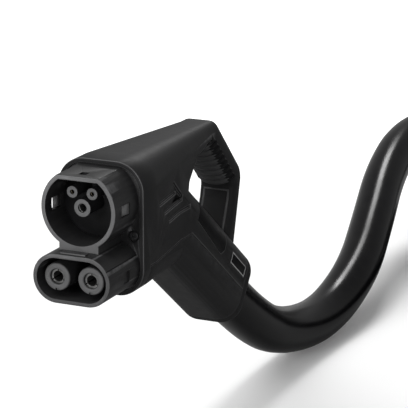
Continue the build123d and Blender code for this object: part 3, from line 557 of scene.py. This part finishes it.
# ----------------------------------------------------------------- the lead
@dataclass
class Lead:
    """The liquid-cooled lead: its run from the leg, its coil and its end cap."""

    diameter: float = 42.0
    leg_end: Point = (0.0, 240.2, -130.1)
    leg_angle: float = 37.0
    entry: float = 28.0
    route: list[Point] = field(default_factory=lambda: [
        (0, 306, -180), (2, 380, -212), (8, 464, -222.5), (10, 548, -200), (-4, 626, -171),
        (-19, 700, -144), (-26, 778, -125), (-15, 853, -123), (15, 922, -135), (62, 978, -157),
        (124, 1014, -182), (196, 1028, -204), (270, 1019, -219),
    ])
    coil_centre: Point = (227.0, 794.0, -220.0)
    coil_entry_angle: float = 60.0
    coil_radii: tuple[float, ...] = (227.0, 204.5, 182.0, 158.0)
    coil_last_sweep: float = 140.0
    coil_step: float = 15.0

    def coil_points(self) -> list[Point]:
        """Work out the coil's control points, half turn after half turn.

        Each half turn has its own middle, so that it starts where the one
        before it ends and the turns lie side by side.

        Returns:
            Points in millimetres, clockwise as seen from above.
        """
        spread = (1.0 + 1.0 / math.cos(math.radians(self.coil_step / 2))) / 2
        across, middle, level = self.coil_centre
        last = len(self.coil_radii) - 1
        angle, side, points = self.coil_entry_angle, 1, []
        for turn, radius in enumerate(self.coil_radii):
            stop = -90.0 - 180.0 * turn
            if turn == last:
                stop = angle - self.coil_last_sweep
            count = round((angle - stop) / self.coil_step)
            for step in range(0 if turn == 0 else 1, count + 1):
                bearing = math.radians(angle + (stop - angle) * step / count)
                points.append((
                    across + radius * spread * math.cos(bearing),
                    middle + radius * spread * math.sin(bearing),
                    level,
                ))
            if turn < last:
                middle -= side * (radius - self.coil_radii[turn + 1])
                side = -side
            angle = stop
        return points

    def build(self) -> bpy.types.Object:
        """Returns:
            The lead's curve object.
        """
        slope = math.radians(self.leg_angle)
        start = (0.0, self.leg_end[1] - self.entry * math.cos(slope), self.leg_end[2] + self.entry * math.sin(slope))
        stops = [start, *self.route, *self.coil_points()]
        curve = bpy.data.curves.new("lead_line", "CURVE")
        curve.dimensions = "3D"
        spline = curve.splines.new("NURBS")
        spline.points.add(len(stops) - 1)
        for point, stop in zip(spline.points, stops):
            point.co = (*mm(*stop), 1.0)
        spline.order_u = 3
        spline.use_endpoint_u = True
        spline.resolution_u = 12
        curve.resolution_u = 12
        curve.bevel_depth = self.diameter / 2 * MM
        curve.bevel_resolution = 12
        curve.use_fill_caps = True
        lead = new_object("lead", curve)
        curve.materials.append(JACKET.make())
        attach(lead, BODY)
        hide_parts("cable_run", "cable_coil")
        cap = dressed("cable_end_cap", SEAL_RUBBER, 0.6)
        mm(*self.leg_end)
        log.info("lead: %d control points", len(stops))
        return lead


# ---------------------------------------------------------------- the plug
@dataclass
class Plug:
    """The plug's own visible parts, each a dressed copy of its CAD node."""

    parts: dict[str, tuple[Finish, float]] = field(default_factory=lambda: {
        "front_frame": (FRAME_GREY, 0.35),
        "housing": (BODY_BLACK, 0.6),
        "lower_shell": (BODY_BLACK, 0.3),
        "grip_insert": (GRIP_BASE, 0.5),
        "side_inlay": (INLAY_GLOSS, 0.25),
        "label_plate": (INLAY_GLOSS, 0.2),
        "cable_collar": (BODY_BLACK, 0.5),
        "frame_seal": (SEAL_RUBBER, 0.2),
        "contact_carrier": (CARRIER_BLACK, 0.2),
        "dc_guard_plus": (GUARD_GREY, 0.25),
        "dc_guard_minus": (GUARD_GREY, 0.25),
        "dc_contact_plus": (CONTACT_SILVER, 0.15),
        "dc_contact_minus": (CONTACT_SILVER, 0.15),
        "pe_contact": (CONTACT_SILVER, 0.12),
        "cp_contact": (CONTACT_BRASS, 0.1),
        "pp_contact": (CONTACT_BRASS, 0.1),
    })

    # Finishes of rounded edges, lighter than the pieces as a painted highlight.
    edge_highlight: dict[str, Finish] = field(default_factory=lambda: {
        "front_frame": FRAME_EDGE,
        "housing": BODY_EDGE,
        "lower_shell": SEAM_EDGE,
        "cable_collar": SEAM_EDGE,
    })

    full_edges: tuple[str, ...] = ("housing", "lower_shell", "cable_collar")

    def build(self) -> None:
        """Build the listed visible parts of the plug and give the sealed parts their finishes."""
        for node, (finish, edge) in self.parts.items():
            dressed(node, finish, edge, self.edge_highlight.get(node), node not in self.full_edges)
        for node, finish in SEALED_PARTS.items():
            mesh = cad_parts[node].data
            mesh.materials.clear()
            mesh.materials.append(finish.make())


class Side(Enum):
    """The plug's two flanks, as seen from the front."""

    LEFT = -1
    RIGHT = 1


def converted(source: bpy.types.Object, name: str, finish: Finish, *nodes: str) -> bpy.types.Object:
    """Turn a curve or an object with Geometry Nodes into a plain piece.

    Args:
        source: The curve, or the object that carries the modifier.
        name: Name of the piece.
        finish: The finish that it takes.
        nodes: CAD nodes that it stands for.

    Returns:
        The new piece, with no modifier.
    """
    graph = bpy.context.evaluated_depsgraph_get()
    mesh = bpy.data.meshes.new_from_object(source.evaluated_get(graph), depsgraph=graph)
    source.modifiers.clear()
    bpy.data.objects.remove(source)
    mesh.name = name + "_form"
    return add_piece(name, mesh, finish, *nodes)


class Tree:
    """A Geometry Nodes tree under construction, with named inputs."""

    def __init__(self, name: str, inputs: dict[str, float | int]) -> None:
        """Make the tree with its inputs and its geometry output.

        Args:
            name: Name of the tree.
            inputs: Default value of each named input.
        """
        self.tree = bpy.data.node_groups.new(name, "GeometryNodeTree")
        self.sockets: dict[str, str] = {}
        self.values = inputs
        for label, value in inputs.items():
            kind = "NodeSocketInt" if isinstance(value, int) else "NodeSocketFloat"
            self.sockets[label] = self.tree.interface.new_socket(label, in_out="INPUT", socket_type=kind).identifier
        self.tree.interface.new_socket("Geometry", in_out="OUTPUT", socket_type="NodeSocketGeometry")
        self.given = self.tree.nodes.new("NodeGroupInput")
        self.result = self.tree.nodes.new("NodeGroupOutput")

    def add(self, kind: str, **inputs: object) -> bpy.types.Node:
        """Add a node and set or link its inputs by name.

        Args:
            kind: Blender's type name of the node, without its prefix.
            inputs: Number, tuple, text for a named input, or socket, with _ for a space.

        Returns:
            The node.
        """
        node = self.tree.nodes.new(kind if kind.startswith("Shader") else "GeometryNode" + kind)
        for label, value in inputs.items():
            socket = node.inputs[label.replace("_", " ")]
            if isinstance(value, str):
                value = self.given.outputs[value]
            if isinstance(value, bpy.types.NodeSocket):
                self.tree.links.new(value, socket)
            else:
                socket.default_value = value
        return node

    def times(self, label: str, factor: float) -> bpy.types.NodeSocket:
        """Multiply a named input by a number and return the product's socket."""
        return math_node(self.tree, "MULTIPLY", self.given.outputs[label], factor)

    def finish(self, geometry: bpy.types.NodeSocket, material: bpy.types.Material) -> bpy.types.Object:
        """End the tree, put it on an empty mesh and set its inputs.

        Args:
            geometry: The finished geometry, instances and all.
            material: Material of the result.

        Returns:
            The object that carries the tree, not yet evaluated.
        """
        whole = self.add("RealizeInstances", Geometry=geometry)
        smooth = self.add("SetShadeSmooth", Geometry=whole.outputs[0])
        coated = self.add("SetMaterial", Geometry=smooth.outputs[0])
        coated.inputs["Material"].default_value = material
        self.tree.links.new(coated.outputs[0], self.result.inputs[0])
        holder = new_object(self.tree.name, bpy.data.meshes.new(self.tree.name))
        modifier = holder.modifiers.new("Nodes", "NODES")
        modifier.node_group = self.tree
        for label, value in self.values.items():
            modifier[self.sockets[label]] = value
        return holder


@dataclass
class Grip:
    """Soft ribs over the inner face of the rear bar."""

    corner: tuple[float, float] = (186.0, 10.0)
    slope: float = 45.0
    first: float = 10.7
    count: int = 8
    pitch: float = 7.229
    half_width: float = 12.9
    reach: float = 6.9
    depth: float = 5.0
    tube: float = 2.9
    half_rib: float = 3.0
    ring_points: int = 48
    tube_points: int = 14

    def build(self) -> bpy.types.Object:
        """Build the ribs as a row of oval rings sunk into the bar.

        Returns:
            The piece.
        """
        work = Tree("Grip_Ribs", {
            "Count": self.count, "Half Width": self.half_width * MM, "Reach": self.reach * MM,
            "Tube": self.tube * MM, "Stretch": self.half_rib / self.tube,
        })
        ring = work.add("CurvePrimitiveCircle", Resolution=self.ring_points)
        ring.inputs["Radius"].default_value = 1.0
        size = work.add("ShaderNodeCombineXYZ", X="Half Width", Y="Reach", Z=1.0)
        oval = work.add("Transform", Geometry=ring.outputs[0], Scale=size.outputs[0])
        profile = work.add("CurvePrimitiveCircle", Resolution=self.tube_points, Radius="Tube")
        tube = work.add("CurveToMesh", Curve=oval.outputs[0], Profile_Curve=profile.outputs[0])
        thick = work.add("ShaderNodeCombineXYZ", X=1.0, Y=1.0, Z="Stretch")
        rib = work.add("Transform", Geometry=tube.outputs[0], Scale=thick.outputs[0])
        lean = math.radians(180 - self.slope) - math.pi / 2
        turned = work.add("Transform", Geometry=rib.outputs[0], Rotation=(lean, 0.0, 0.0))
        cos, sin = math.cos(math.radians(self.slope)), math.sin(math.radians(self.slope))
        y = self.corner[0] + self.first * cos + self.depth * sin
        z = self.corner[1] - self.first * sin + self.depth * cos
        row = work.add("MeshLine", Count="Count")
        row.inputs["Start Location"].default_value = mm(0, y, z)
        row.inputs["Offset"].default_value = mm(0, self.pitch * cos, -self.pitch * sin)
        placed = work.add("InstanceOnPoints", Points=row.outputs[0], Instance=turned.outputs[0])
        holder = work.finish(placed.outputs[0], GRIP_RUBBER.make())
        return converted(holder, "grip_ribs", GRIP_RUBBER)


@dataclass
class BarPanel:
    """Raised bead round the plain panel on the rear bar, below the grip."""

    half_width: float = 10.6
    bead: float = 1.1
    sink: float = 0.45
    face: list[tuple[float, float]] = field(default_factory=lambda: [
        (234.0, -43.0), (232.5, -50.0), (226.5, -65.0), (220.5, -80.0),
    ])

    def build(self) -> bpy.types.Object:
        """Build the bead as one closed polyline curve, turned into a mesh.

        Returns:
            The piece.
        """
        left = [mm(-self.half_width, y + self.sink, z) for y, z in self.face]
        right = [mm(self.half_width, y + self.sink, z) for y, z in self.face]
        loop = [*left, *right[::-1]]
        curve = bpy.data.curves.new("bar_panel_line", "CURVE")
        curve.dimensions = "3D"
        spline = curve.splines.new("POLY")
        spline.points.add(len(loop) - 1)
        for point, place in zip(spline.points, loop):
            point.co = (*place, 1.0)
        spline.use_cyclic_u = True
        curve.bevel_depth = self.bead * MM
        curve.bevel_resolution = 4
        holder = new_object("bar_panel_line", curve)
        # The bead's lighter finish is a painted highlight line.
        return converted(holder, "bar_panel", PANEL_BEAD)


@dataclass
class Catches:
    """Sprung catches in the windows of the round shroud."""

    outside: float = 29.8
    wall: float = 3.2
    front: float = 7.4
    rear: float = 16.2
    low: float = -5.0
    high: float = 3.4
    sink: float = 0.3            # into the window from the wall's inner side
    nose: float = 1.6            # below the wall's outside at the front
    heel: float = 0.5            # below it at the rear
    rounding: float = 0.4

    def build(self) -> bpy.types.Object:
        """Build a wedge in each window.

        Returns:
            The piece.
        """
        work = bmesh.new()
        for side in Side:
            inner = self.outside - self.wall + self.sink
            outline = [
                (inner, self.front), (self.outside - self.nose, self.front),
                (self.outside - self.heel, self.rear), (inner, self.rear),
            ]
            rows = [
                [work.verts.new(mm(side.value * x, y, z)) for x, y in outline]
                for z in (self.low, self.high)
            ]
            work.faces.new(rows[0])
            work.faces.new(rows[1][::-1])
            for index in range(len(outline)):
                after = (index + 1) % len(outline)
                work.faces.new((rows[0][index], rows[1][index], rows[1][after], rows[0][after]))
        bmesh.ops.recalc_face_normals(work, faces=work.faces)
        bmesh.ops.bevel(work, geom=work.edges, offset=self.rounding * MM, segments=2, affect="EDGES")
        mesh = bpy.data.meshes.new("window_catches_form")
        work.to_mesh(mesh)
        work.free()
        mesh.shade_smooth()
        return add_piece("window_catches", mesh, CATCH_GREY)


@dataclass
class LabelFrame:
    """Thin pale border on the blank label plate."""

    border: float = 0.9
    rise: float = 0.12
    margin: float = 0.4
    facing: float = 0.3          # sideways share of the normal of the outer face

    def build(self) -> bpy.types.Object:
        """Build the border from the outer face of the label plate.

        Returns:
            The piece.
        """
        mesh, work = merged_copy("label_plate", "label_frame_form")
        others = [face for face in work.faces if face.normal.x <= self.facing]
        bmesh.ops.delete(work, geom=others, context="FACES")
        middle = list(work.faces)
        for width in (self.margin, self.border):
            ring = bmesh.ops.inset_region(
                work, faces=middle, thickness=width * MM, use_boundary=True, use_even_offset=True,
            )["faces"]
        keep = set(ring)
        bmesh.ops.delete(work, geom=[face for face in work.faces if face not in keep], context="FACES")
        work.to_mesh(mesh)
        work.free()
        mesh.shade_flat()
        piece = add_piece("label_frame", mesh, LABEL_TRIM)
        shell = piece.modifiers.new("Thickness", "SOLIDIFY")
        shell.thickness = self.rise * MM
        shell.offset = 1.0
        return piece


@dataclass
class Screws:
    """Socket-head screws that hold the front frame."""

    side: float = 25.6
    drop: float = -25.9
    face: float = 30.2
    head: float = 3.3
    height: float = 1.8
    socket: float = 1.3
    shank: float = 1.95
    length: float = 13.0
    socket_depth: float = 1.3
    chamfer: tuple[float, float] = (0.5, 0.45)
    steps: int = 36
    flats: int = 6

    def screw(self) -> bpy.types.Object:
        """Build one screw at the origin, its head towards -Y.

        Returns:
            The object that the tree takes the screw from.
        """
        work = bmesh.new()
        loops = []
        inward, down = self.chamfer
        for reach, y, flats in (
            (0.0, self.socket_depth, 0), (self.socket, self.socket_depth, self.flats),
            (self.socket, 0.0, self.flats), (self.head - inward, 0.0, 0), (self.head, down, 0),
            (self.head, self.height, 0), (self.shank, self.height, 0), (self.shank, self.length, 0),
            (0.0, self.length, 0),
        ):
            loop = []
            for step in range(self.steps):
                turn = 2 * math.pi * step / self.steps
                flat = reach
                if flats:
                    part = math.pi / flats
                    flat = reach * math.cos(part) / math.cos((turn % (2 * part)) - part)
                loop.append(work.verts.new(mm(flat * math.cos(turn), y, flat * math.sin(turn))))
            loops.append(loop)
        for first, second in zip(loops, loops[1:]):
            for step in range(self.steps):
                after = (step + 1) % self.steps
                work.faces.new((first[step], first[after], second[after], second[step]))
        bmesh.ops.remove_doubles(work, verts=work.verts, dist=1e-7)
        bmesh.ops.recalc_face_normals(work, faces=work.faces)
        mesh = bpy.data.meshes.new("one_screw")
        work.to_mesh(mesh)
        work.free()
        mesh.shade_flat()
        return new_object("one_screw", mesh)

    def build(self) -> bpy.types.Object:
        """Set a screw at each side of the frame.

        Returns:
            The piece.
        """
        pattern = self.screw()
        work = Tree("Frame_Screws", {"Side": self.side * MM, "Drop": self.drop * MM, "Face": self.face * MM})
        start = work.add("ShaderNodeCombineXYZ", X=work.times("Side", -1.0), Y="Face", Z="Drop")
        step = work.add("ShaderNodeCombineXYZ", X=work.times("Side", 2.0), Y=0.0, Z=0.0)
        row = work.add("MeshLine", Count=2)
        work.tree.links.new(start.outputs[0], row.inputs["Start Location"])
        work.tree.links.new(step.outputs[0], row.inputs["Offset"])
        one = work.add("ObjectInfo")
        one.inputs["Object"].default_value = pattern
        placed = work.add("InstanceOnPoints", Points=row.outputs[0], Instance=one.outputs["Geometry"])
        holder = work.finish(placed.outputs[0], SCREW_STEEL.make())
        piece = converted(holder, "frame_screws_skin", SCREW_STEEL, "frame_screws")
        piece.data.shade_flat()
        bpy.data.objects.remove(pattern)
        return piece


# ----------------------------------------------------------------- the studio
@dataclass(frozen=True)
class Lamp:
    """One square softbox, with its side and distance in metres and its power in watts."""

    name: str
    direction: Point
    distance: float
    size: float
    power: float
    target: Point = (0, 120, -40)

    def add(self) -> None:
        """Add the lamp, facing its target from its direction."""
        data = bpy.data.lights.new(self.name, "AREA")
        data.shape = "SQUARE"
        data.size = self.size
        data.energy = self.power
        lamp = new_object(self.name, data)
        away = Vector(self.direction).normalized()
        lamp.location = mm(*self.target) + away * self.distance
        lamp.rotation_euler = away.to_track_quat("Z", "Y").to_euler()


LAMPS = (
    Lamp("key_softbox", (-0.10, -0.95, 0.31), 2.0, 0.5, 16),
    Lamp("top_softbox", (-0.35, -0.45, 1.0), 2.2, 1.6, 34),
    Lamp("low_softbox", (0.55, -0.84, -0.02), 2.2, 0.7, 16),
    Lamp("lead_softbox", (-0.15, 0.58, 0.79), 1.5, 0.35, 12, (-15, 690, -140)),
)


@dataclass
class Studio:
    """Floor, backdrop, lights and camera."""

    floor_level: float = -241.0
    floor_size: float = 12.0
    eye: Point = (674.616, -1275.019, 400.290)
    azimuth: float = 24.433
    elevation: float = 15.423
    lens: float = 185.0
    middle: Point = (0.0, 0.35, -0.241)
    shade_radius: float = 0.55   # where the floor's glow starts to rise, in metres
    clear_share: float = 2.2     # where it is full, as a share of that
    floor_glow: float = 0.08
    floor_seen: Colour = (0.92, 0.92, 0.92)
    floor_bounced: Colour = (0.30, 0.30, 0.30)
    glossy_share: float = 0.5
    fill: float = 0.3

    def seen(self, tree: bpy.types.NodeTree, ray: bpy.types.Node) -> bpy.types.NodeSocket:
        """Work out how brightly a ray sees the stage.

        Args:
            tree: The material's or the world's tree.
            ray: Its Light Path node.

        Returns:
            Socket that is 1 for camera and transmission rays, the glossy share for glossy ones and 0 for others.
        """
        straight = math_node(tree, "MAXIMUM", ray.outputs["Is Camera Ray"], ray.outputs["Is Transmission Ray"])
        glossy = math_node(tree, "MULTIPLY", ray.outputs["Is Glossy Ray"], self.glossy_share)
        return math_node(tree, "MAXIMUM", straight, glossy)

    def floor_material(self) -> bpy.types.Material:
        """Build the floor's material, which the camera sees as white away from the plug.

        Returns:
            The material.
        """
        material = bpy.data.materials.new("Pale_Floor")
        material.use_nodes = True
        tree = material.node_tree
        shader = tree.nodes["Principled BSDF"]
        shader.inputs["Roughness"].default_value = 0.9
        shader.inputs["Specular IOR Level"].default_value = 0.0
        ray = tree.nodes.new("ShaderNodeLightPath")
        pale = tree.nodes.new("ShaderNodeMix")
        pale.data_type = "RGBA"
        tree.links.new(ray.outputs["Is Camera Ray"], pale.inputs["Factor"])
        for index, colour in zip(MIX_INPUTS, (self.floor_bounced, self.floor_seen)):
            pale.inputs[index].default_value = (*colour, 1.0)
        tree.links.new(pale.outputs[MIX_OUTPUT], shader.inputs["Base Color"])
        where = tree.nodes.new("ShaderNodeTexCoord").outputs["Object"]
        away = tree.nodes.new("ShaderNodeVectorMath")
        away.operation = "DISTANCE"
        tree.links.new(where, away.inputs[0])
        away.inputs[1].default_value = self.middle
        rise = remap(tree, away.outputs["Value"], self.shade_radius, self.shade_radius * self.clear_share)
        level = math_node(tree, "ADD", math_node(tree, "MULTIPLY", rise, 1.0 - self.floor_glow), self.floor_glow)
        glow = tree.nodes.new("ShaderNodeEmission")
        glow.inputs["Color"].default_value = (1.0, 1.0, 1.0, 1.0)
        tree.links.new(math_node(tree, "MULTIPLY", self.seen(tree, ray), level), glow.inputs["Strength"])
        both = tree.nodes.new("ShaderNodeAddShader")
        tree.links.new(shader.outputs[0], both.inputs[0])
        tree.links.new(glow.outputs[0], both.inputs[1])
        tree.links.new(both.outputs[0], tree.nodes["Material Output"].inputs["Surface"])
        return material

    def floor(self) -> None:
        """Build the floor."""
        half = self.floor_size / 2
        mesh = bpy.data.meshes.new("floor")
        level = self.floor_level * MM
        corners = [(-half, -half, level), (half, -half, level), (half, half, level), (-half, half, level)]
        mesh.from_pydata(corners, [], [(0, 1, 2, 3)])
        floor = new_object("floor", mesh)
        mesh.materials.append(self.floor_material())

    def light(self) -> None:
        """Set the world and the lamps."""
        world = bpy.data.worlds.new("Studio_World")
        bpy.context.scene.world = world
        world.use_nodes = True
        tree = world.node_tree
        ground = tree.nodes["Background"]
        ground.inputs["Color"].default_value = (1.0, 1.0, 1.0, 1.0)
        ray = tree.nodes.new("ShaderNodeLightPath")
        strength = math_node(tree, "MAXIMUM", self.seen(tree, ray), self.fill)
        tree.links.new(strength, ground.inputs["Strength"])
        for lamp in LAMPS:
            lamp.add()

    def camera(self) -> None:
        """Place the camera at its viewing angle."""
        turn, rise = math.radians(self.azimuth), math.radians(self.elevation)
        back = Vector((math.sin(turn) * math.cos(rise), -math.cos(turn) * math.cos(rise), math.sin(rise)))
        right = Vector((math.cos(turn), math.sin(turn), 0.0))
        up = back.cross(right)
        data = bpy.data.cameras.new("camera")
        data.lens = self.lens
        data.sensor_width = 36.0
        data.clip_start, data.clip_end = 0.05, 60.0
        eye = new_object("camera", data)
        pose = Matrix((right, up, back)).transposed().to_4x4()
        pose.translation = mm(*self.eye)
        eye.matrix_world = pose
        bpy.context.scene.camera = eye

    def build(self) -> None:
        """Build the stage, the lights and the camera."""
        self.floor()
        self.light()
        self.camera()
        bpy.context.scene.view_settings.view_transform = "Standard"


def main() -> None:
    """Build the lead, the plug and the studio in order."""
    logging.basicConfig(level=logging.INFO, format="%(name)s %(message)s")
    Lead().build()
    Plug().build()
    for part in (Grip(), BarPanel(), Catches(), LabelFrame(), Screws()):
        part.build()
    Studio().build()


if __name__ == "__main__":
    main()
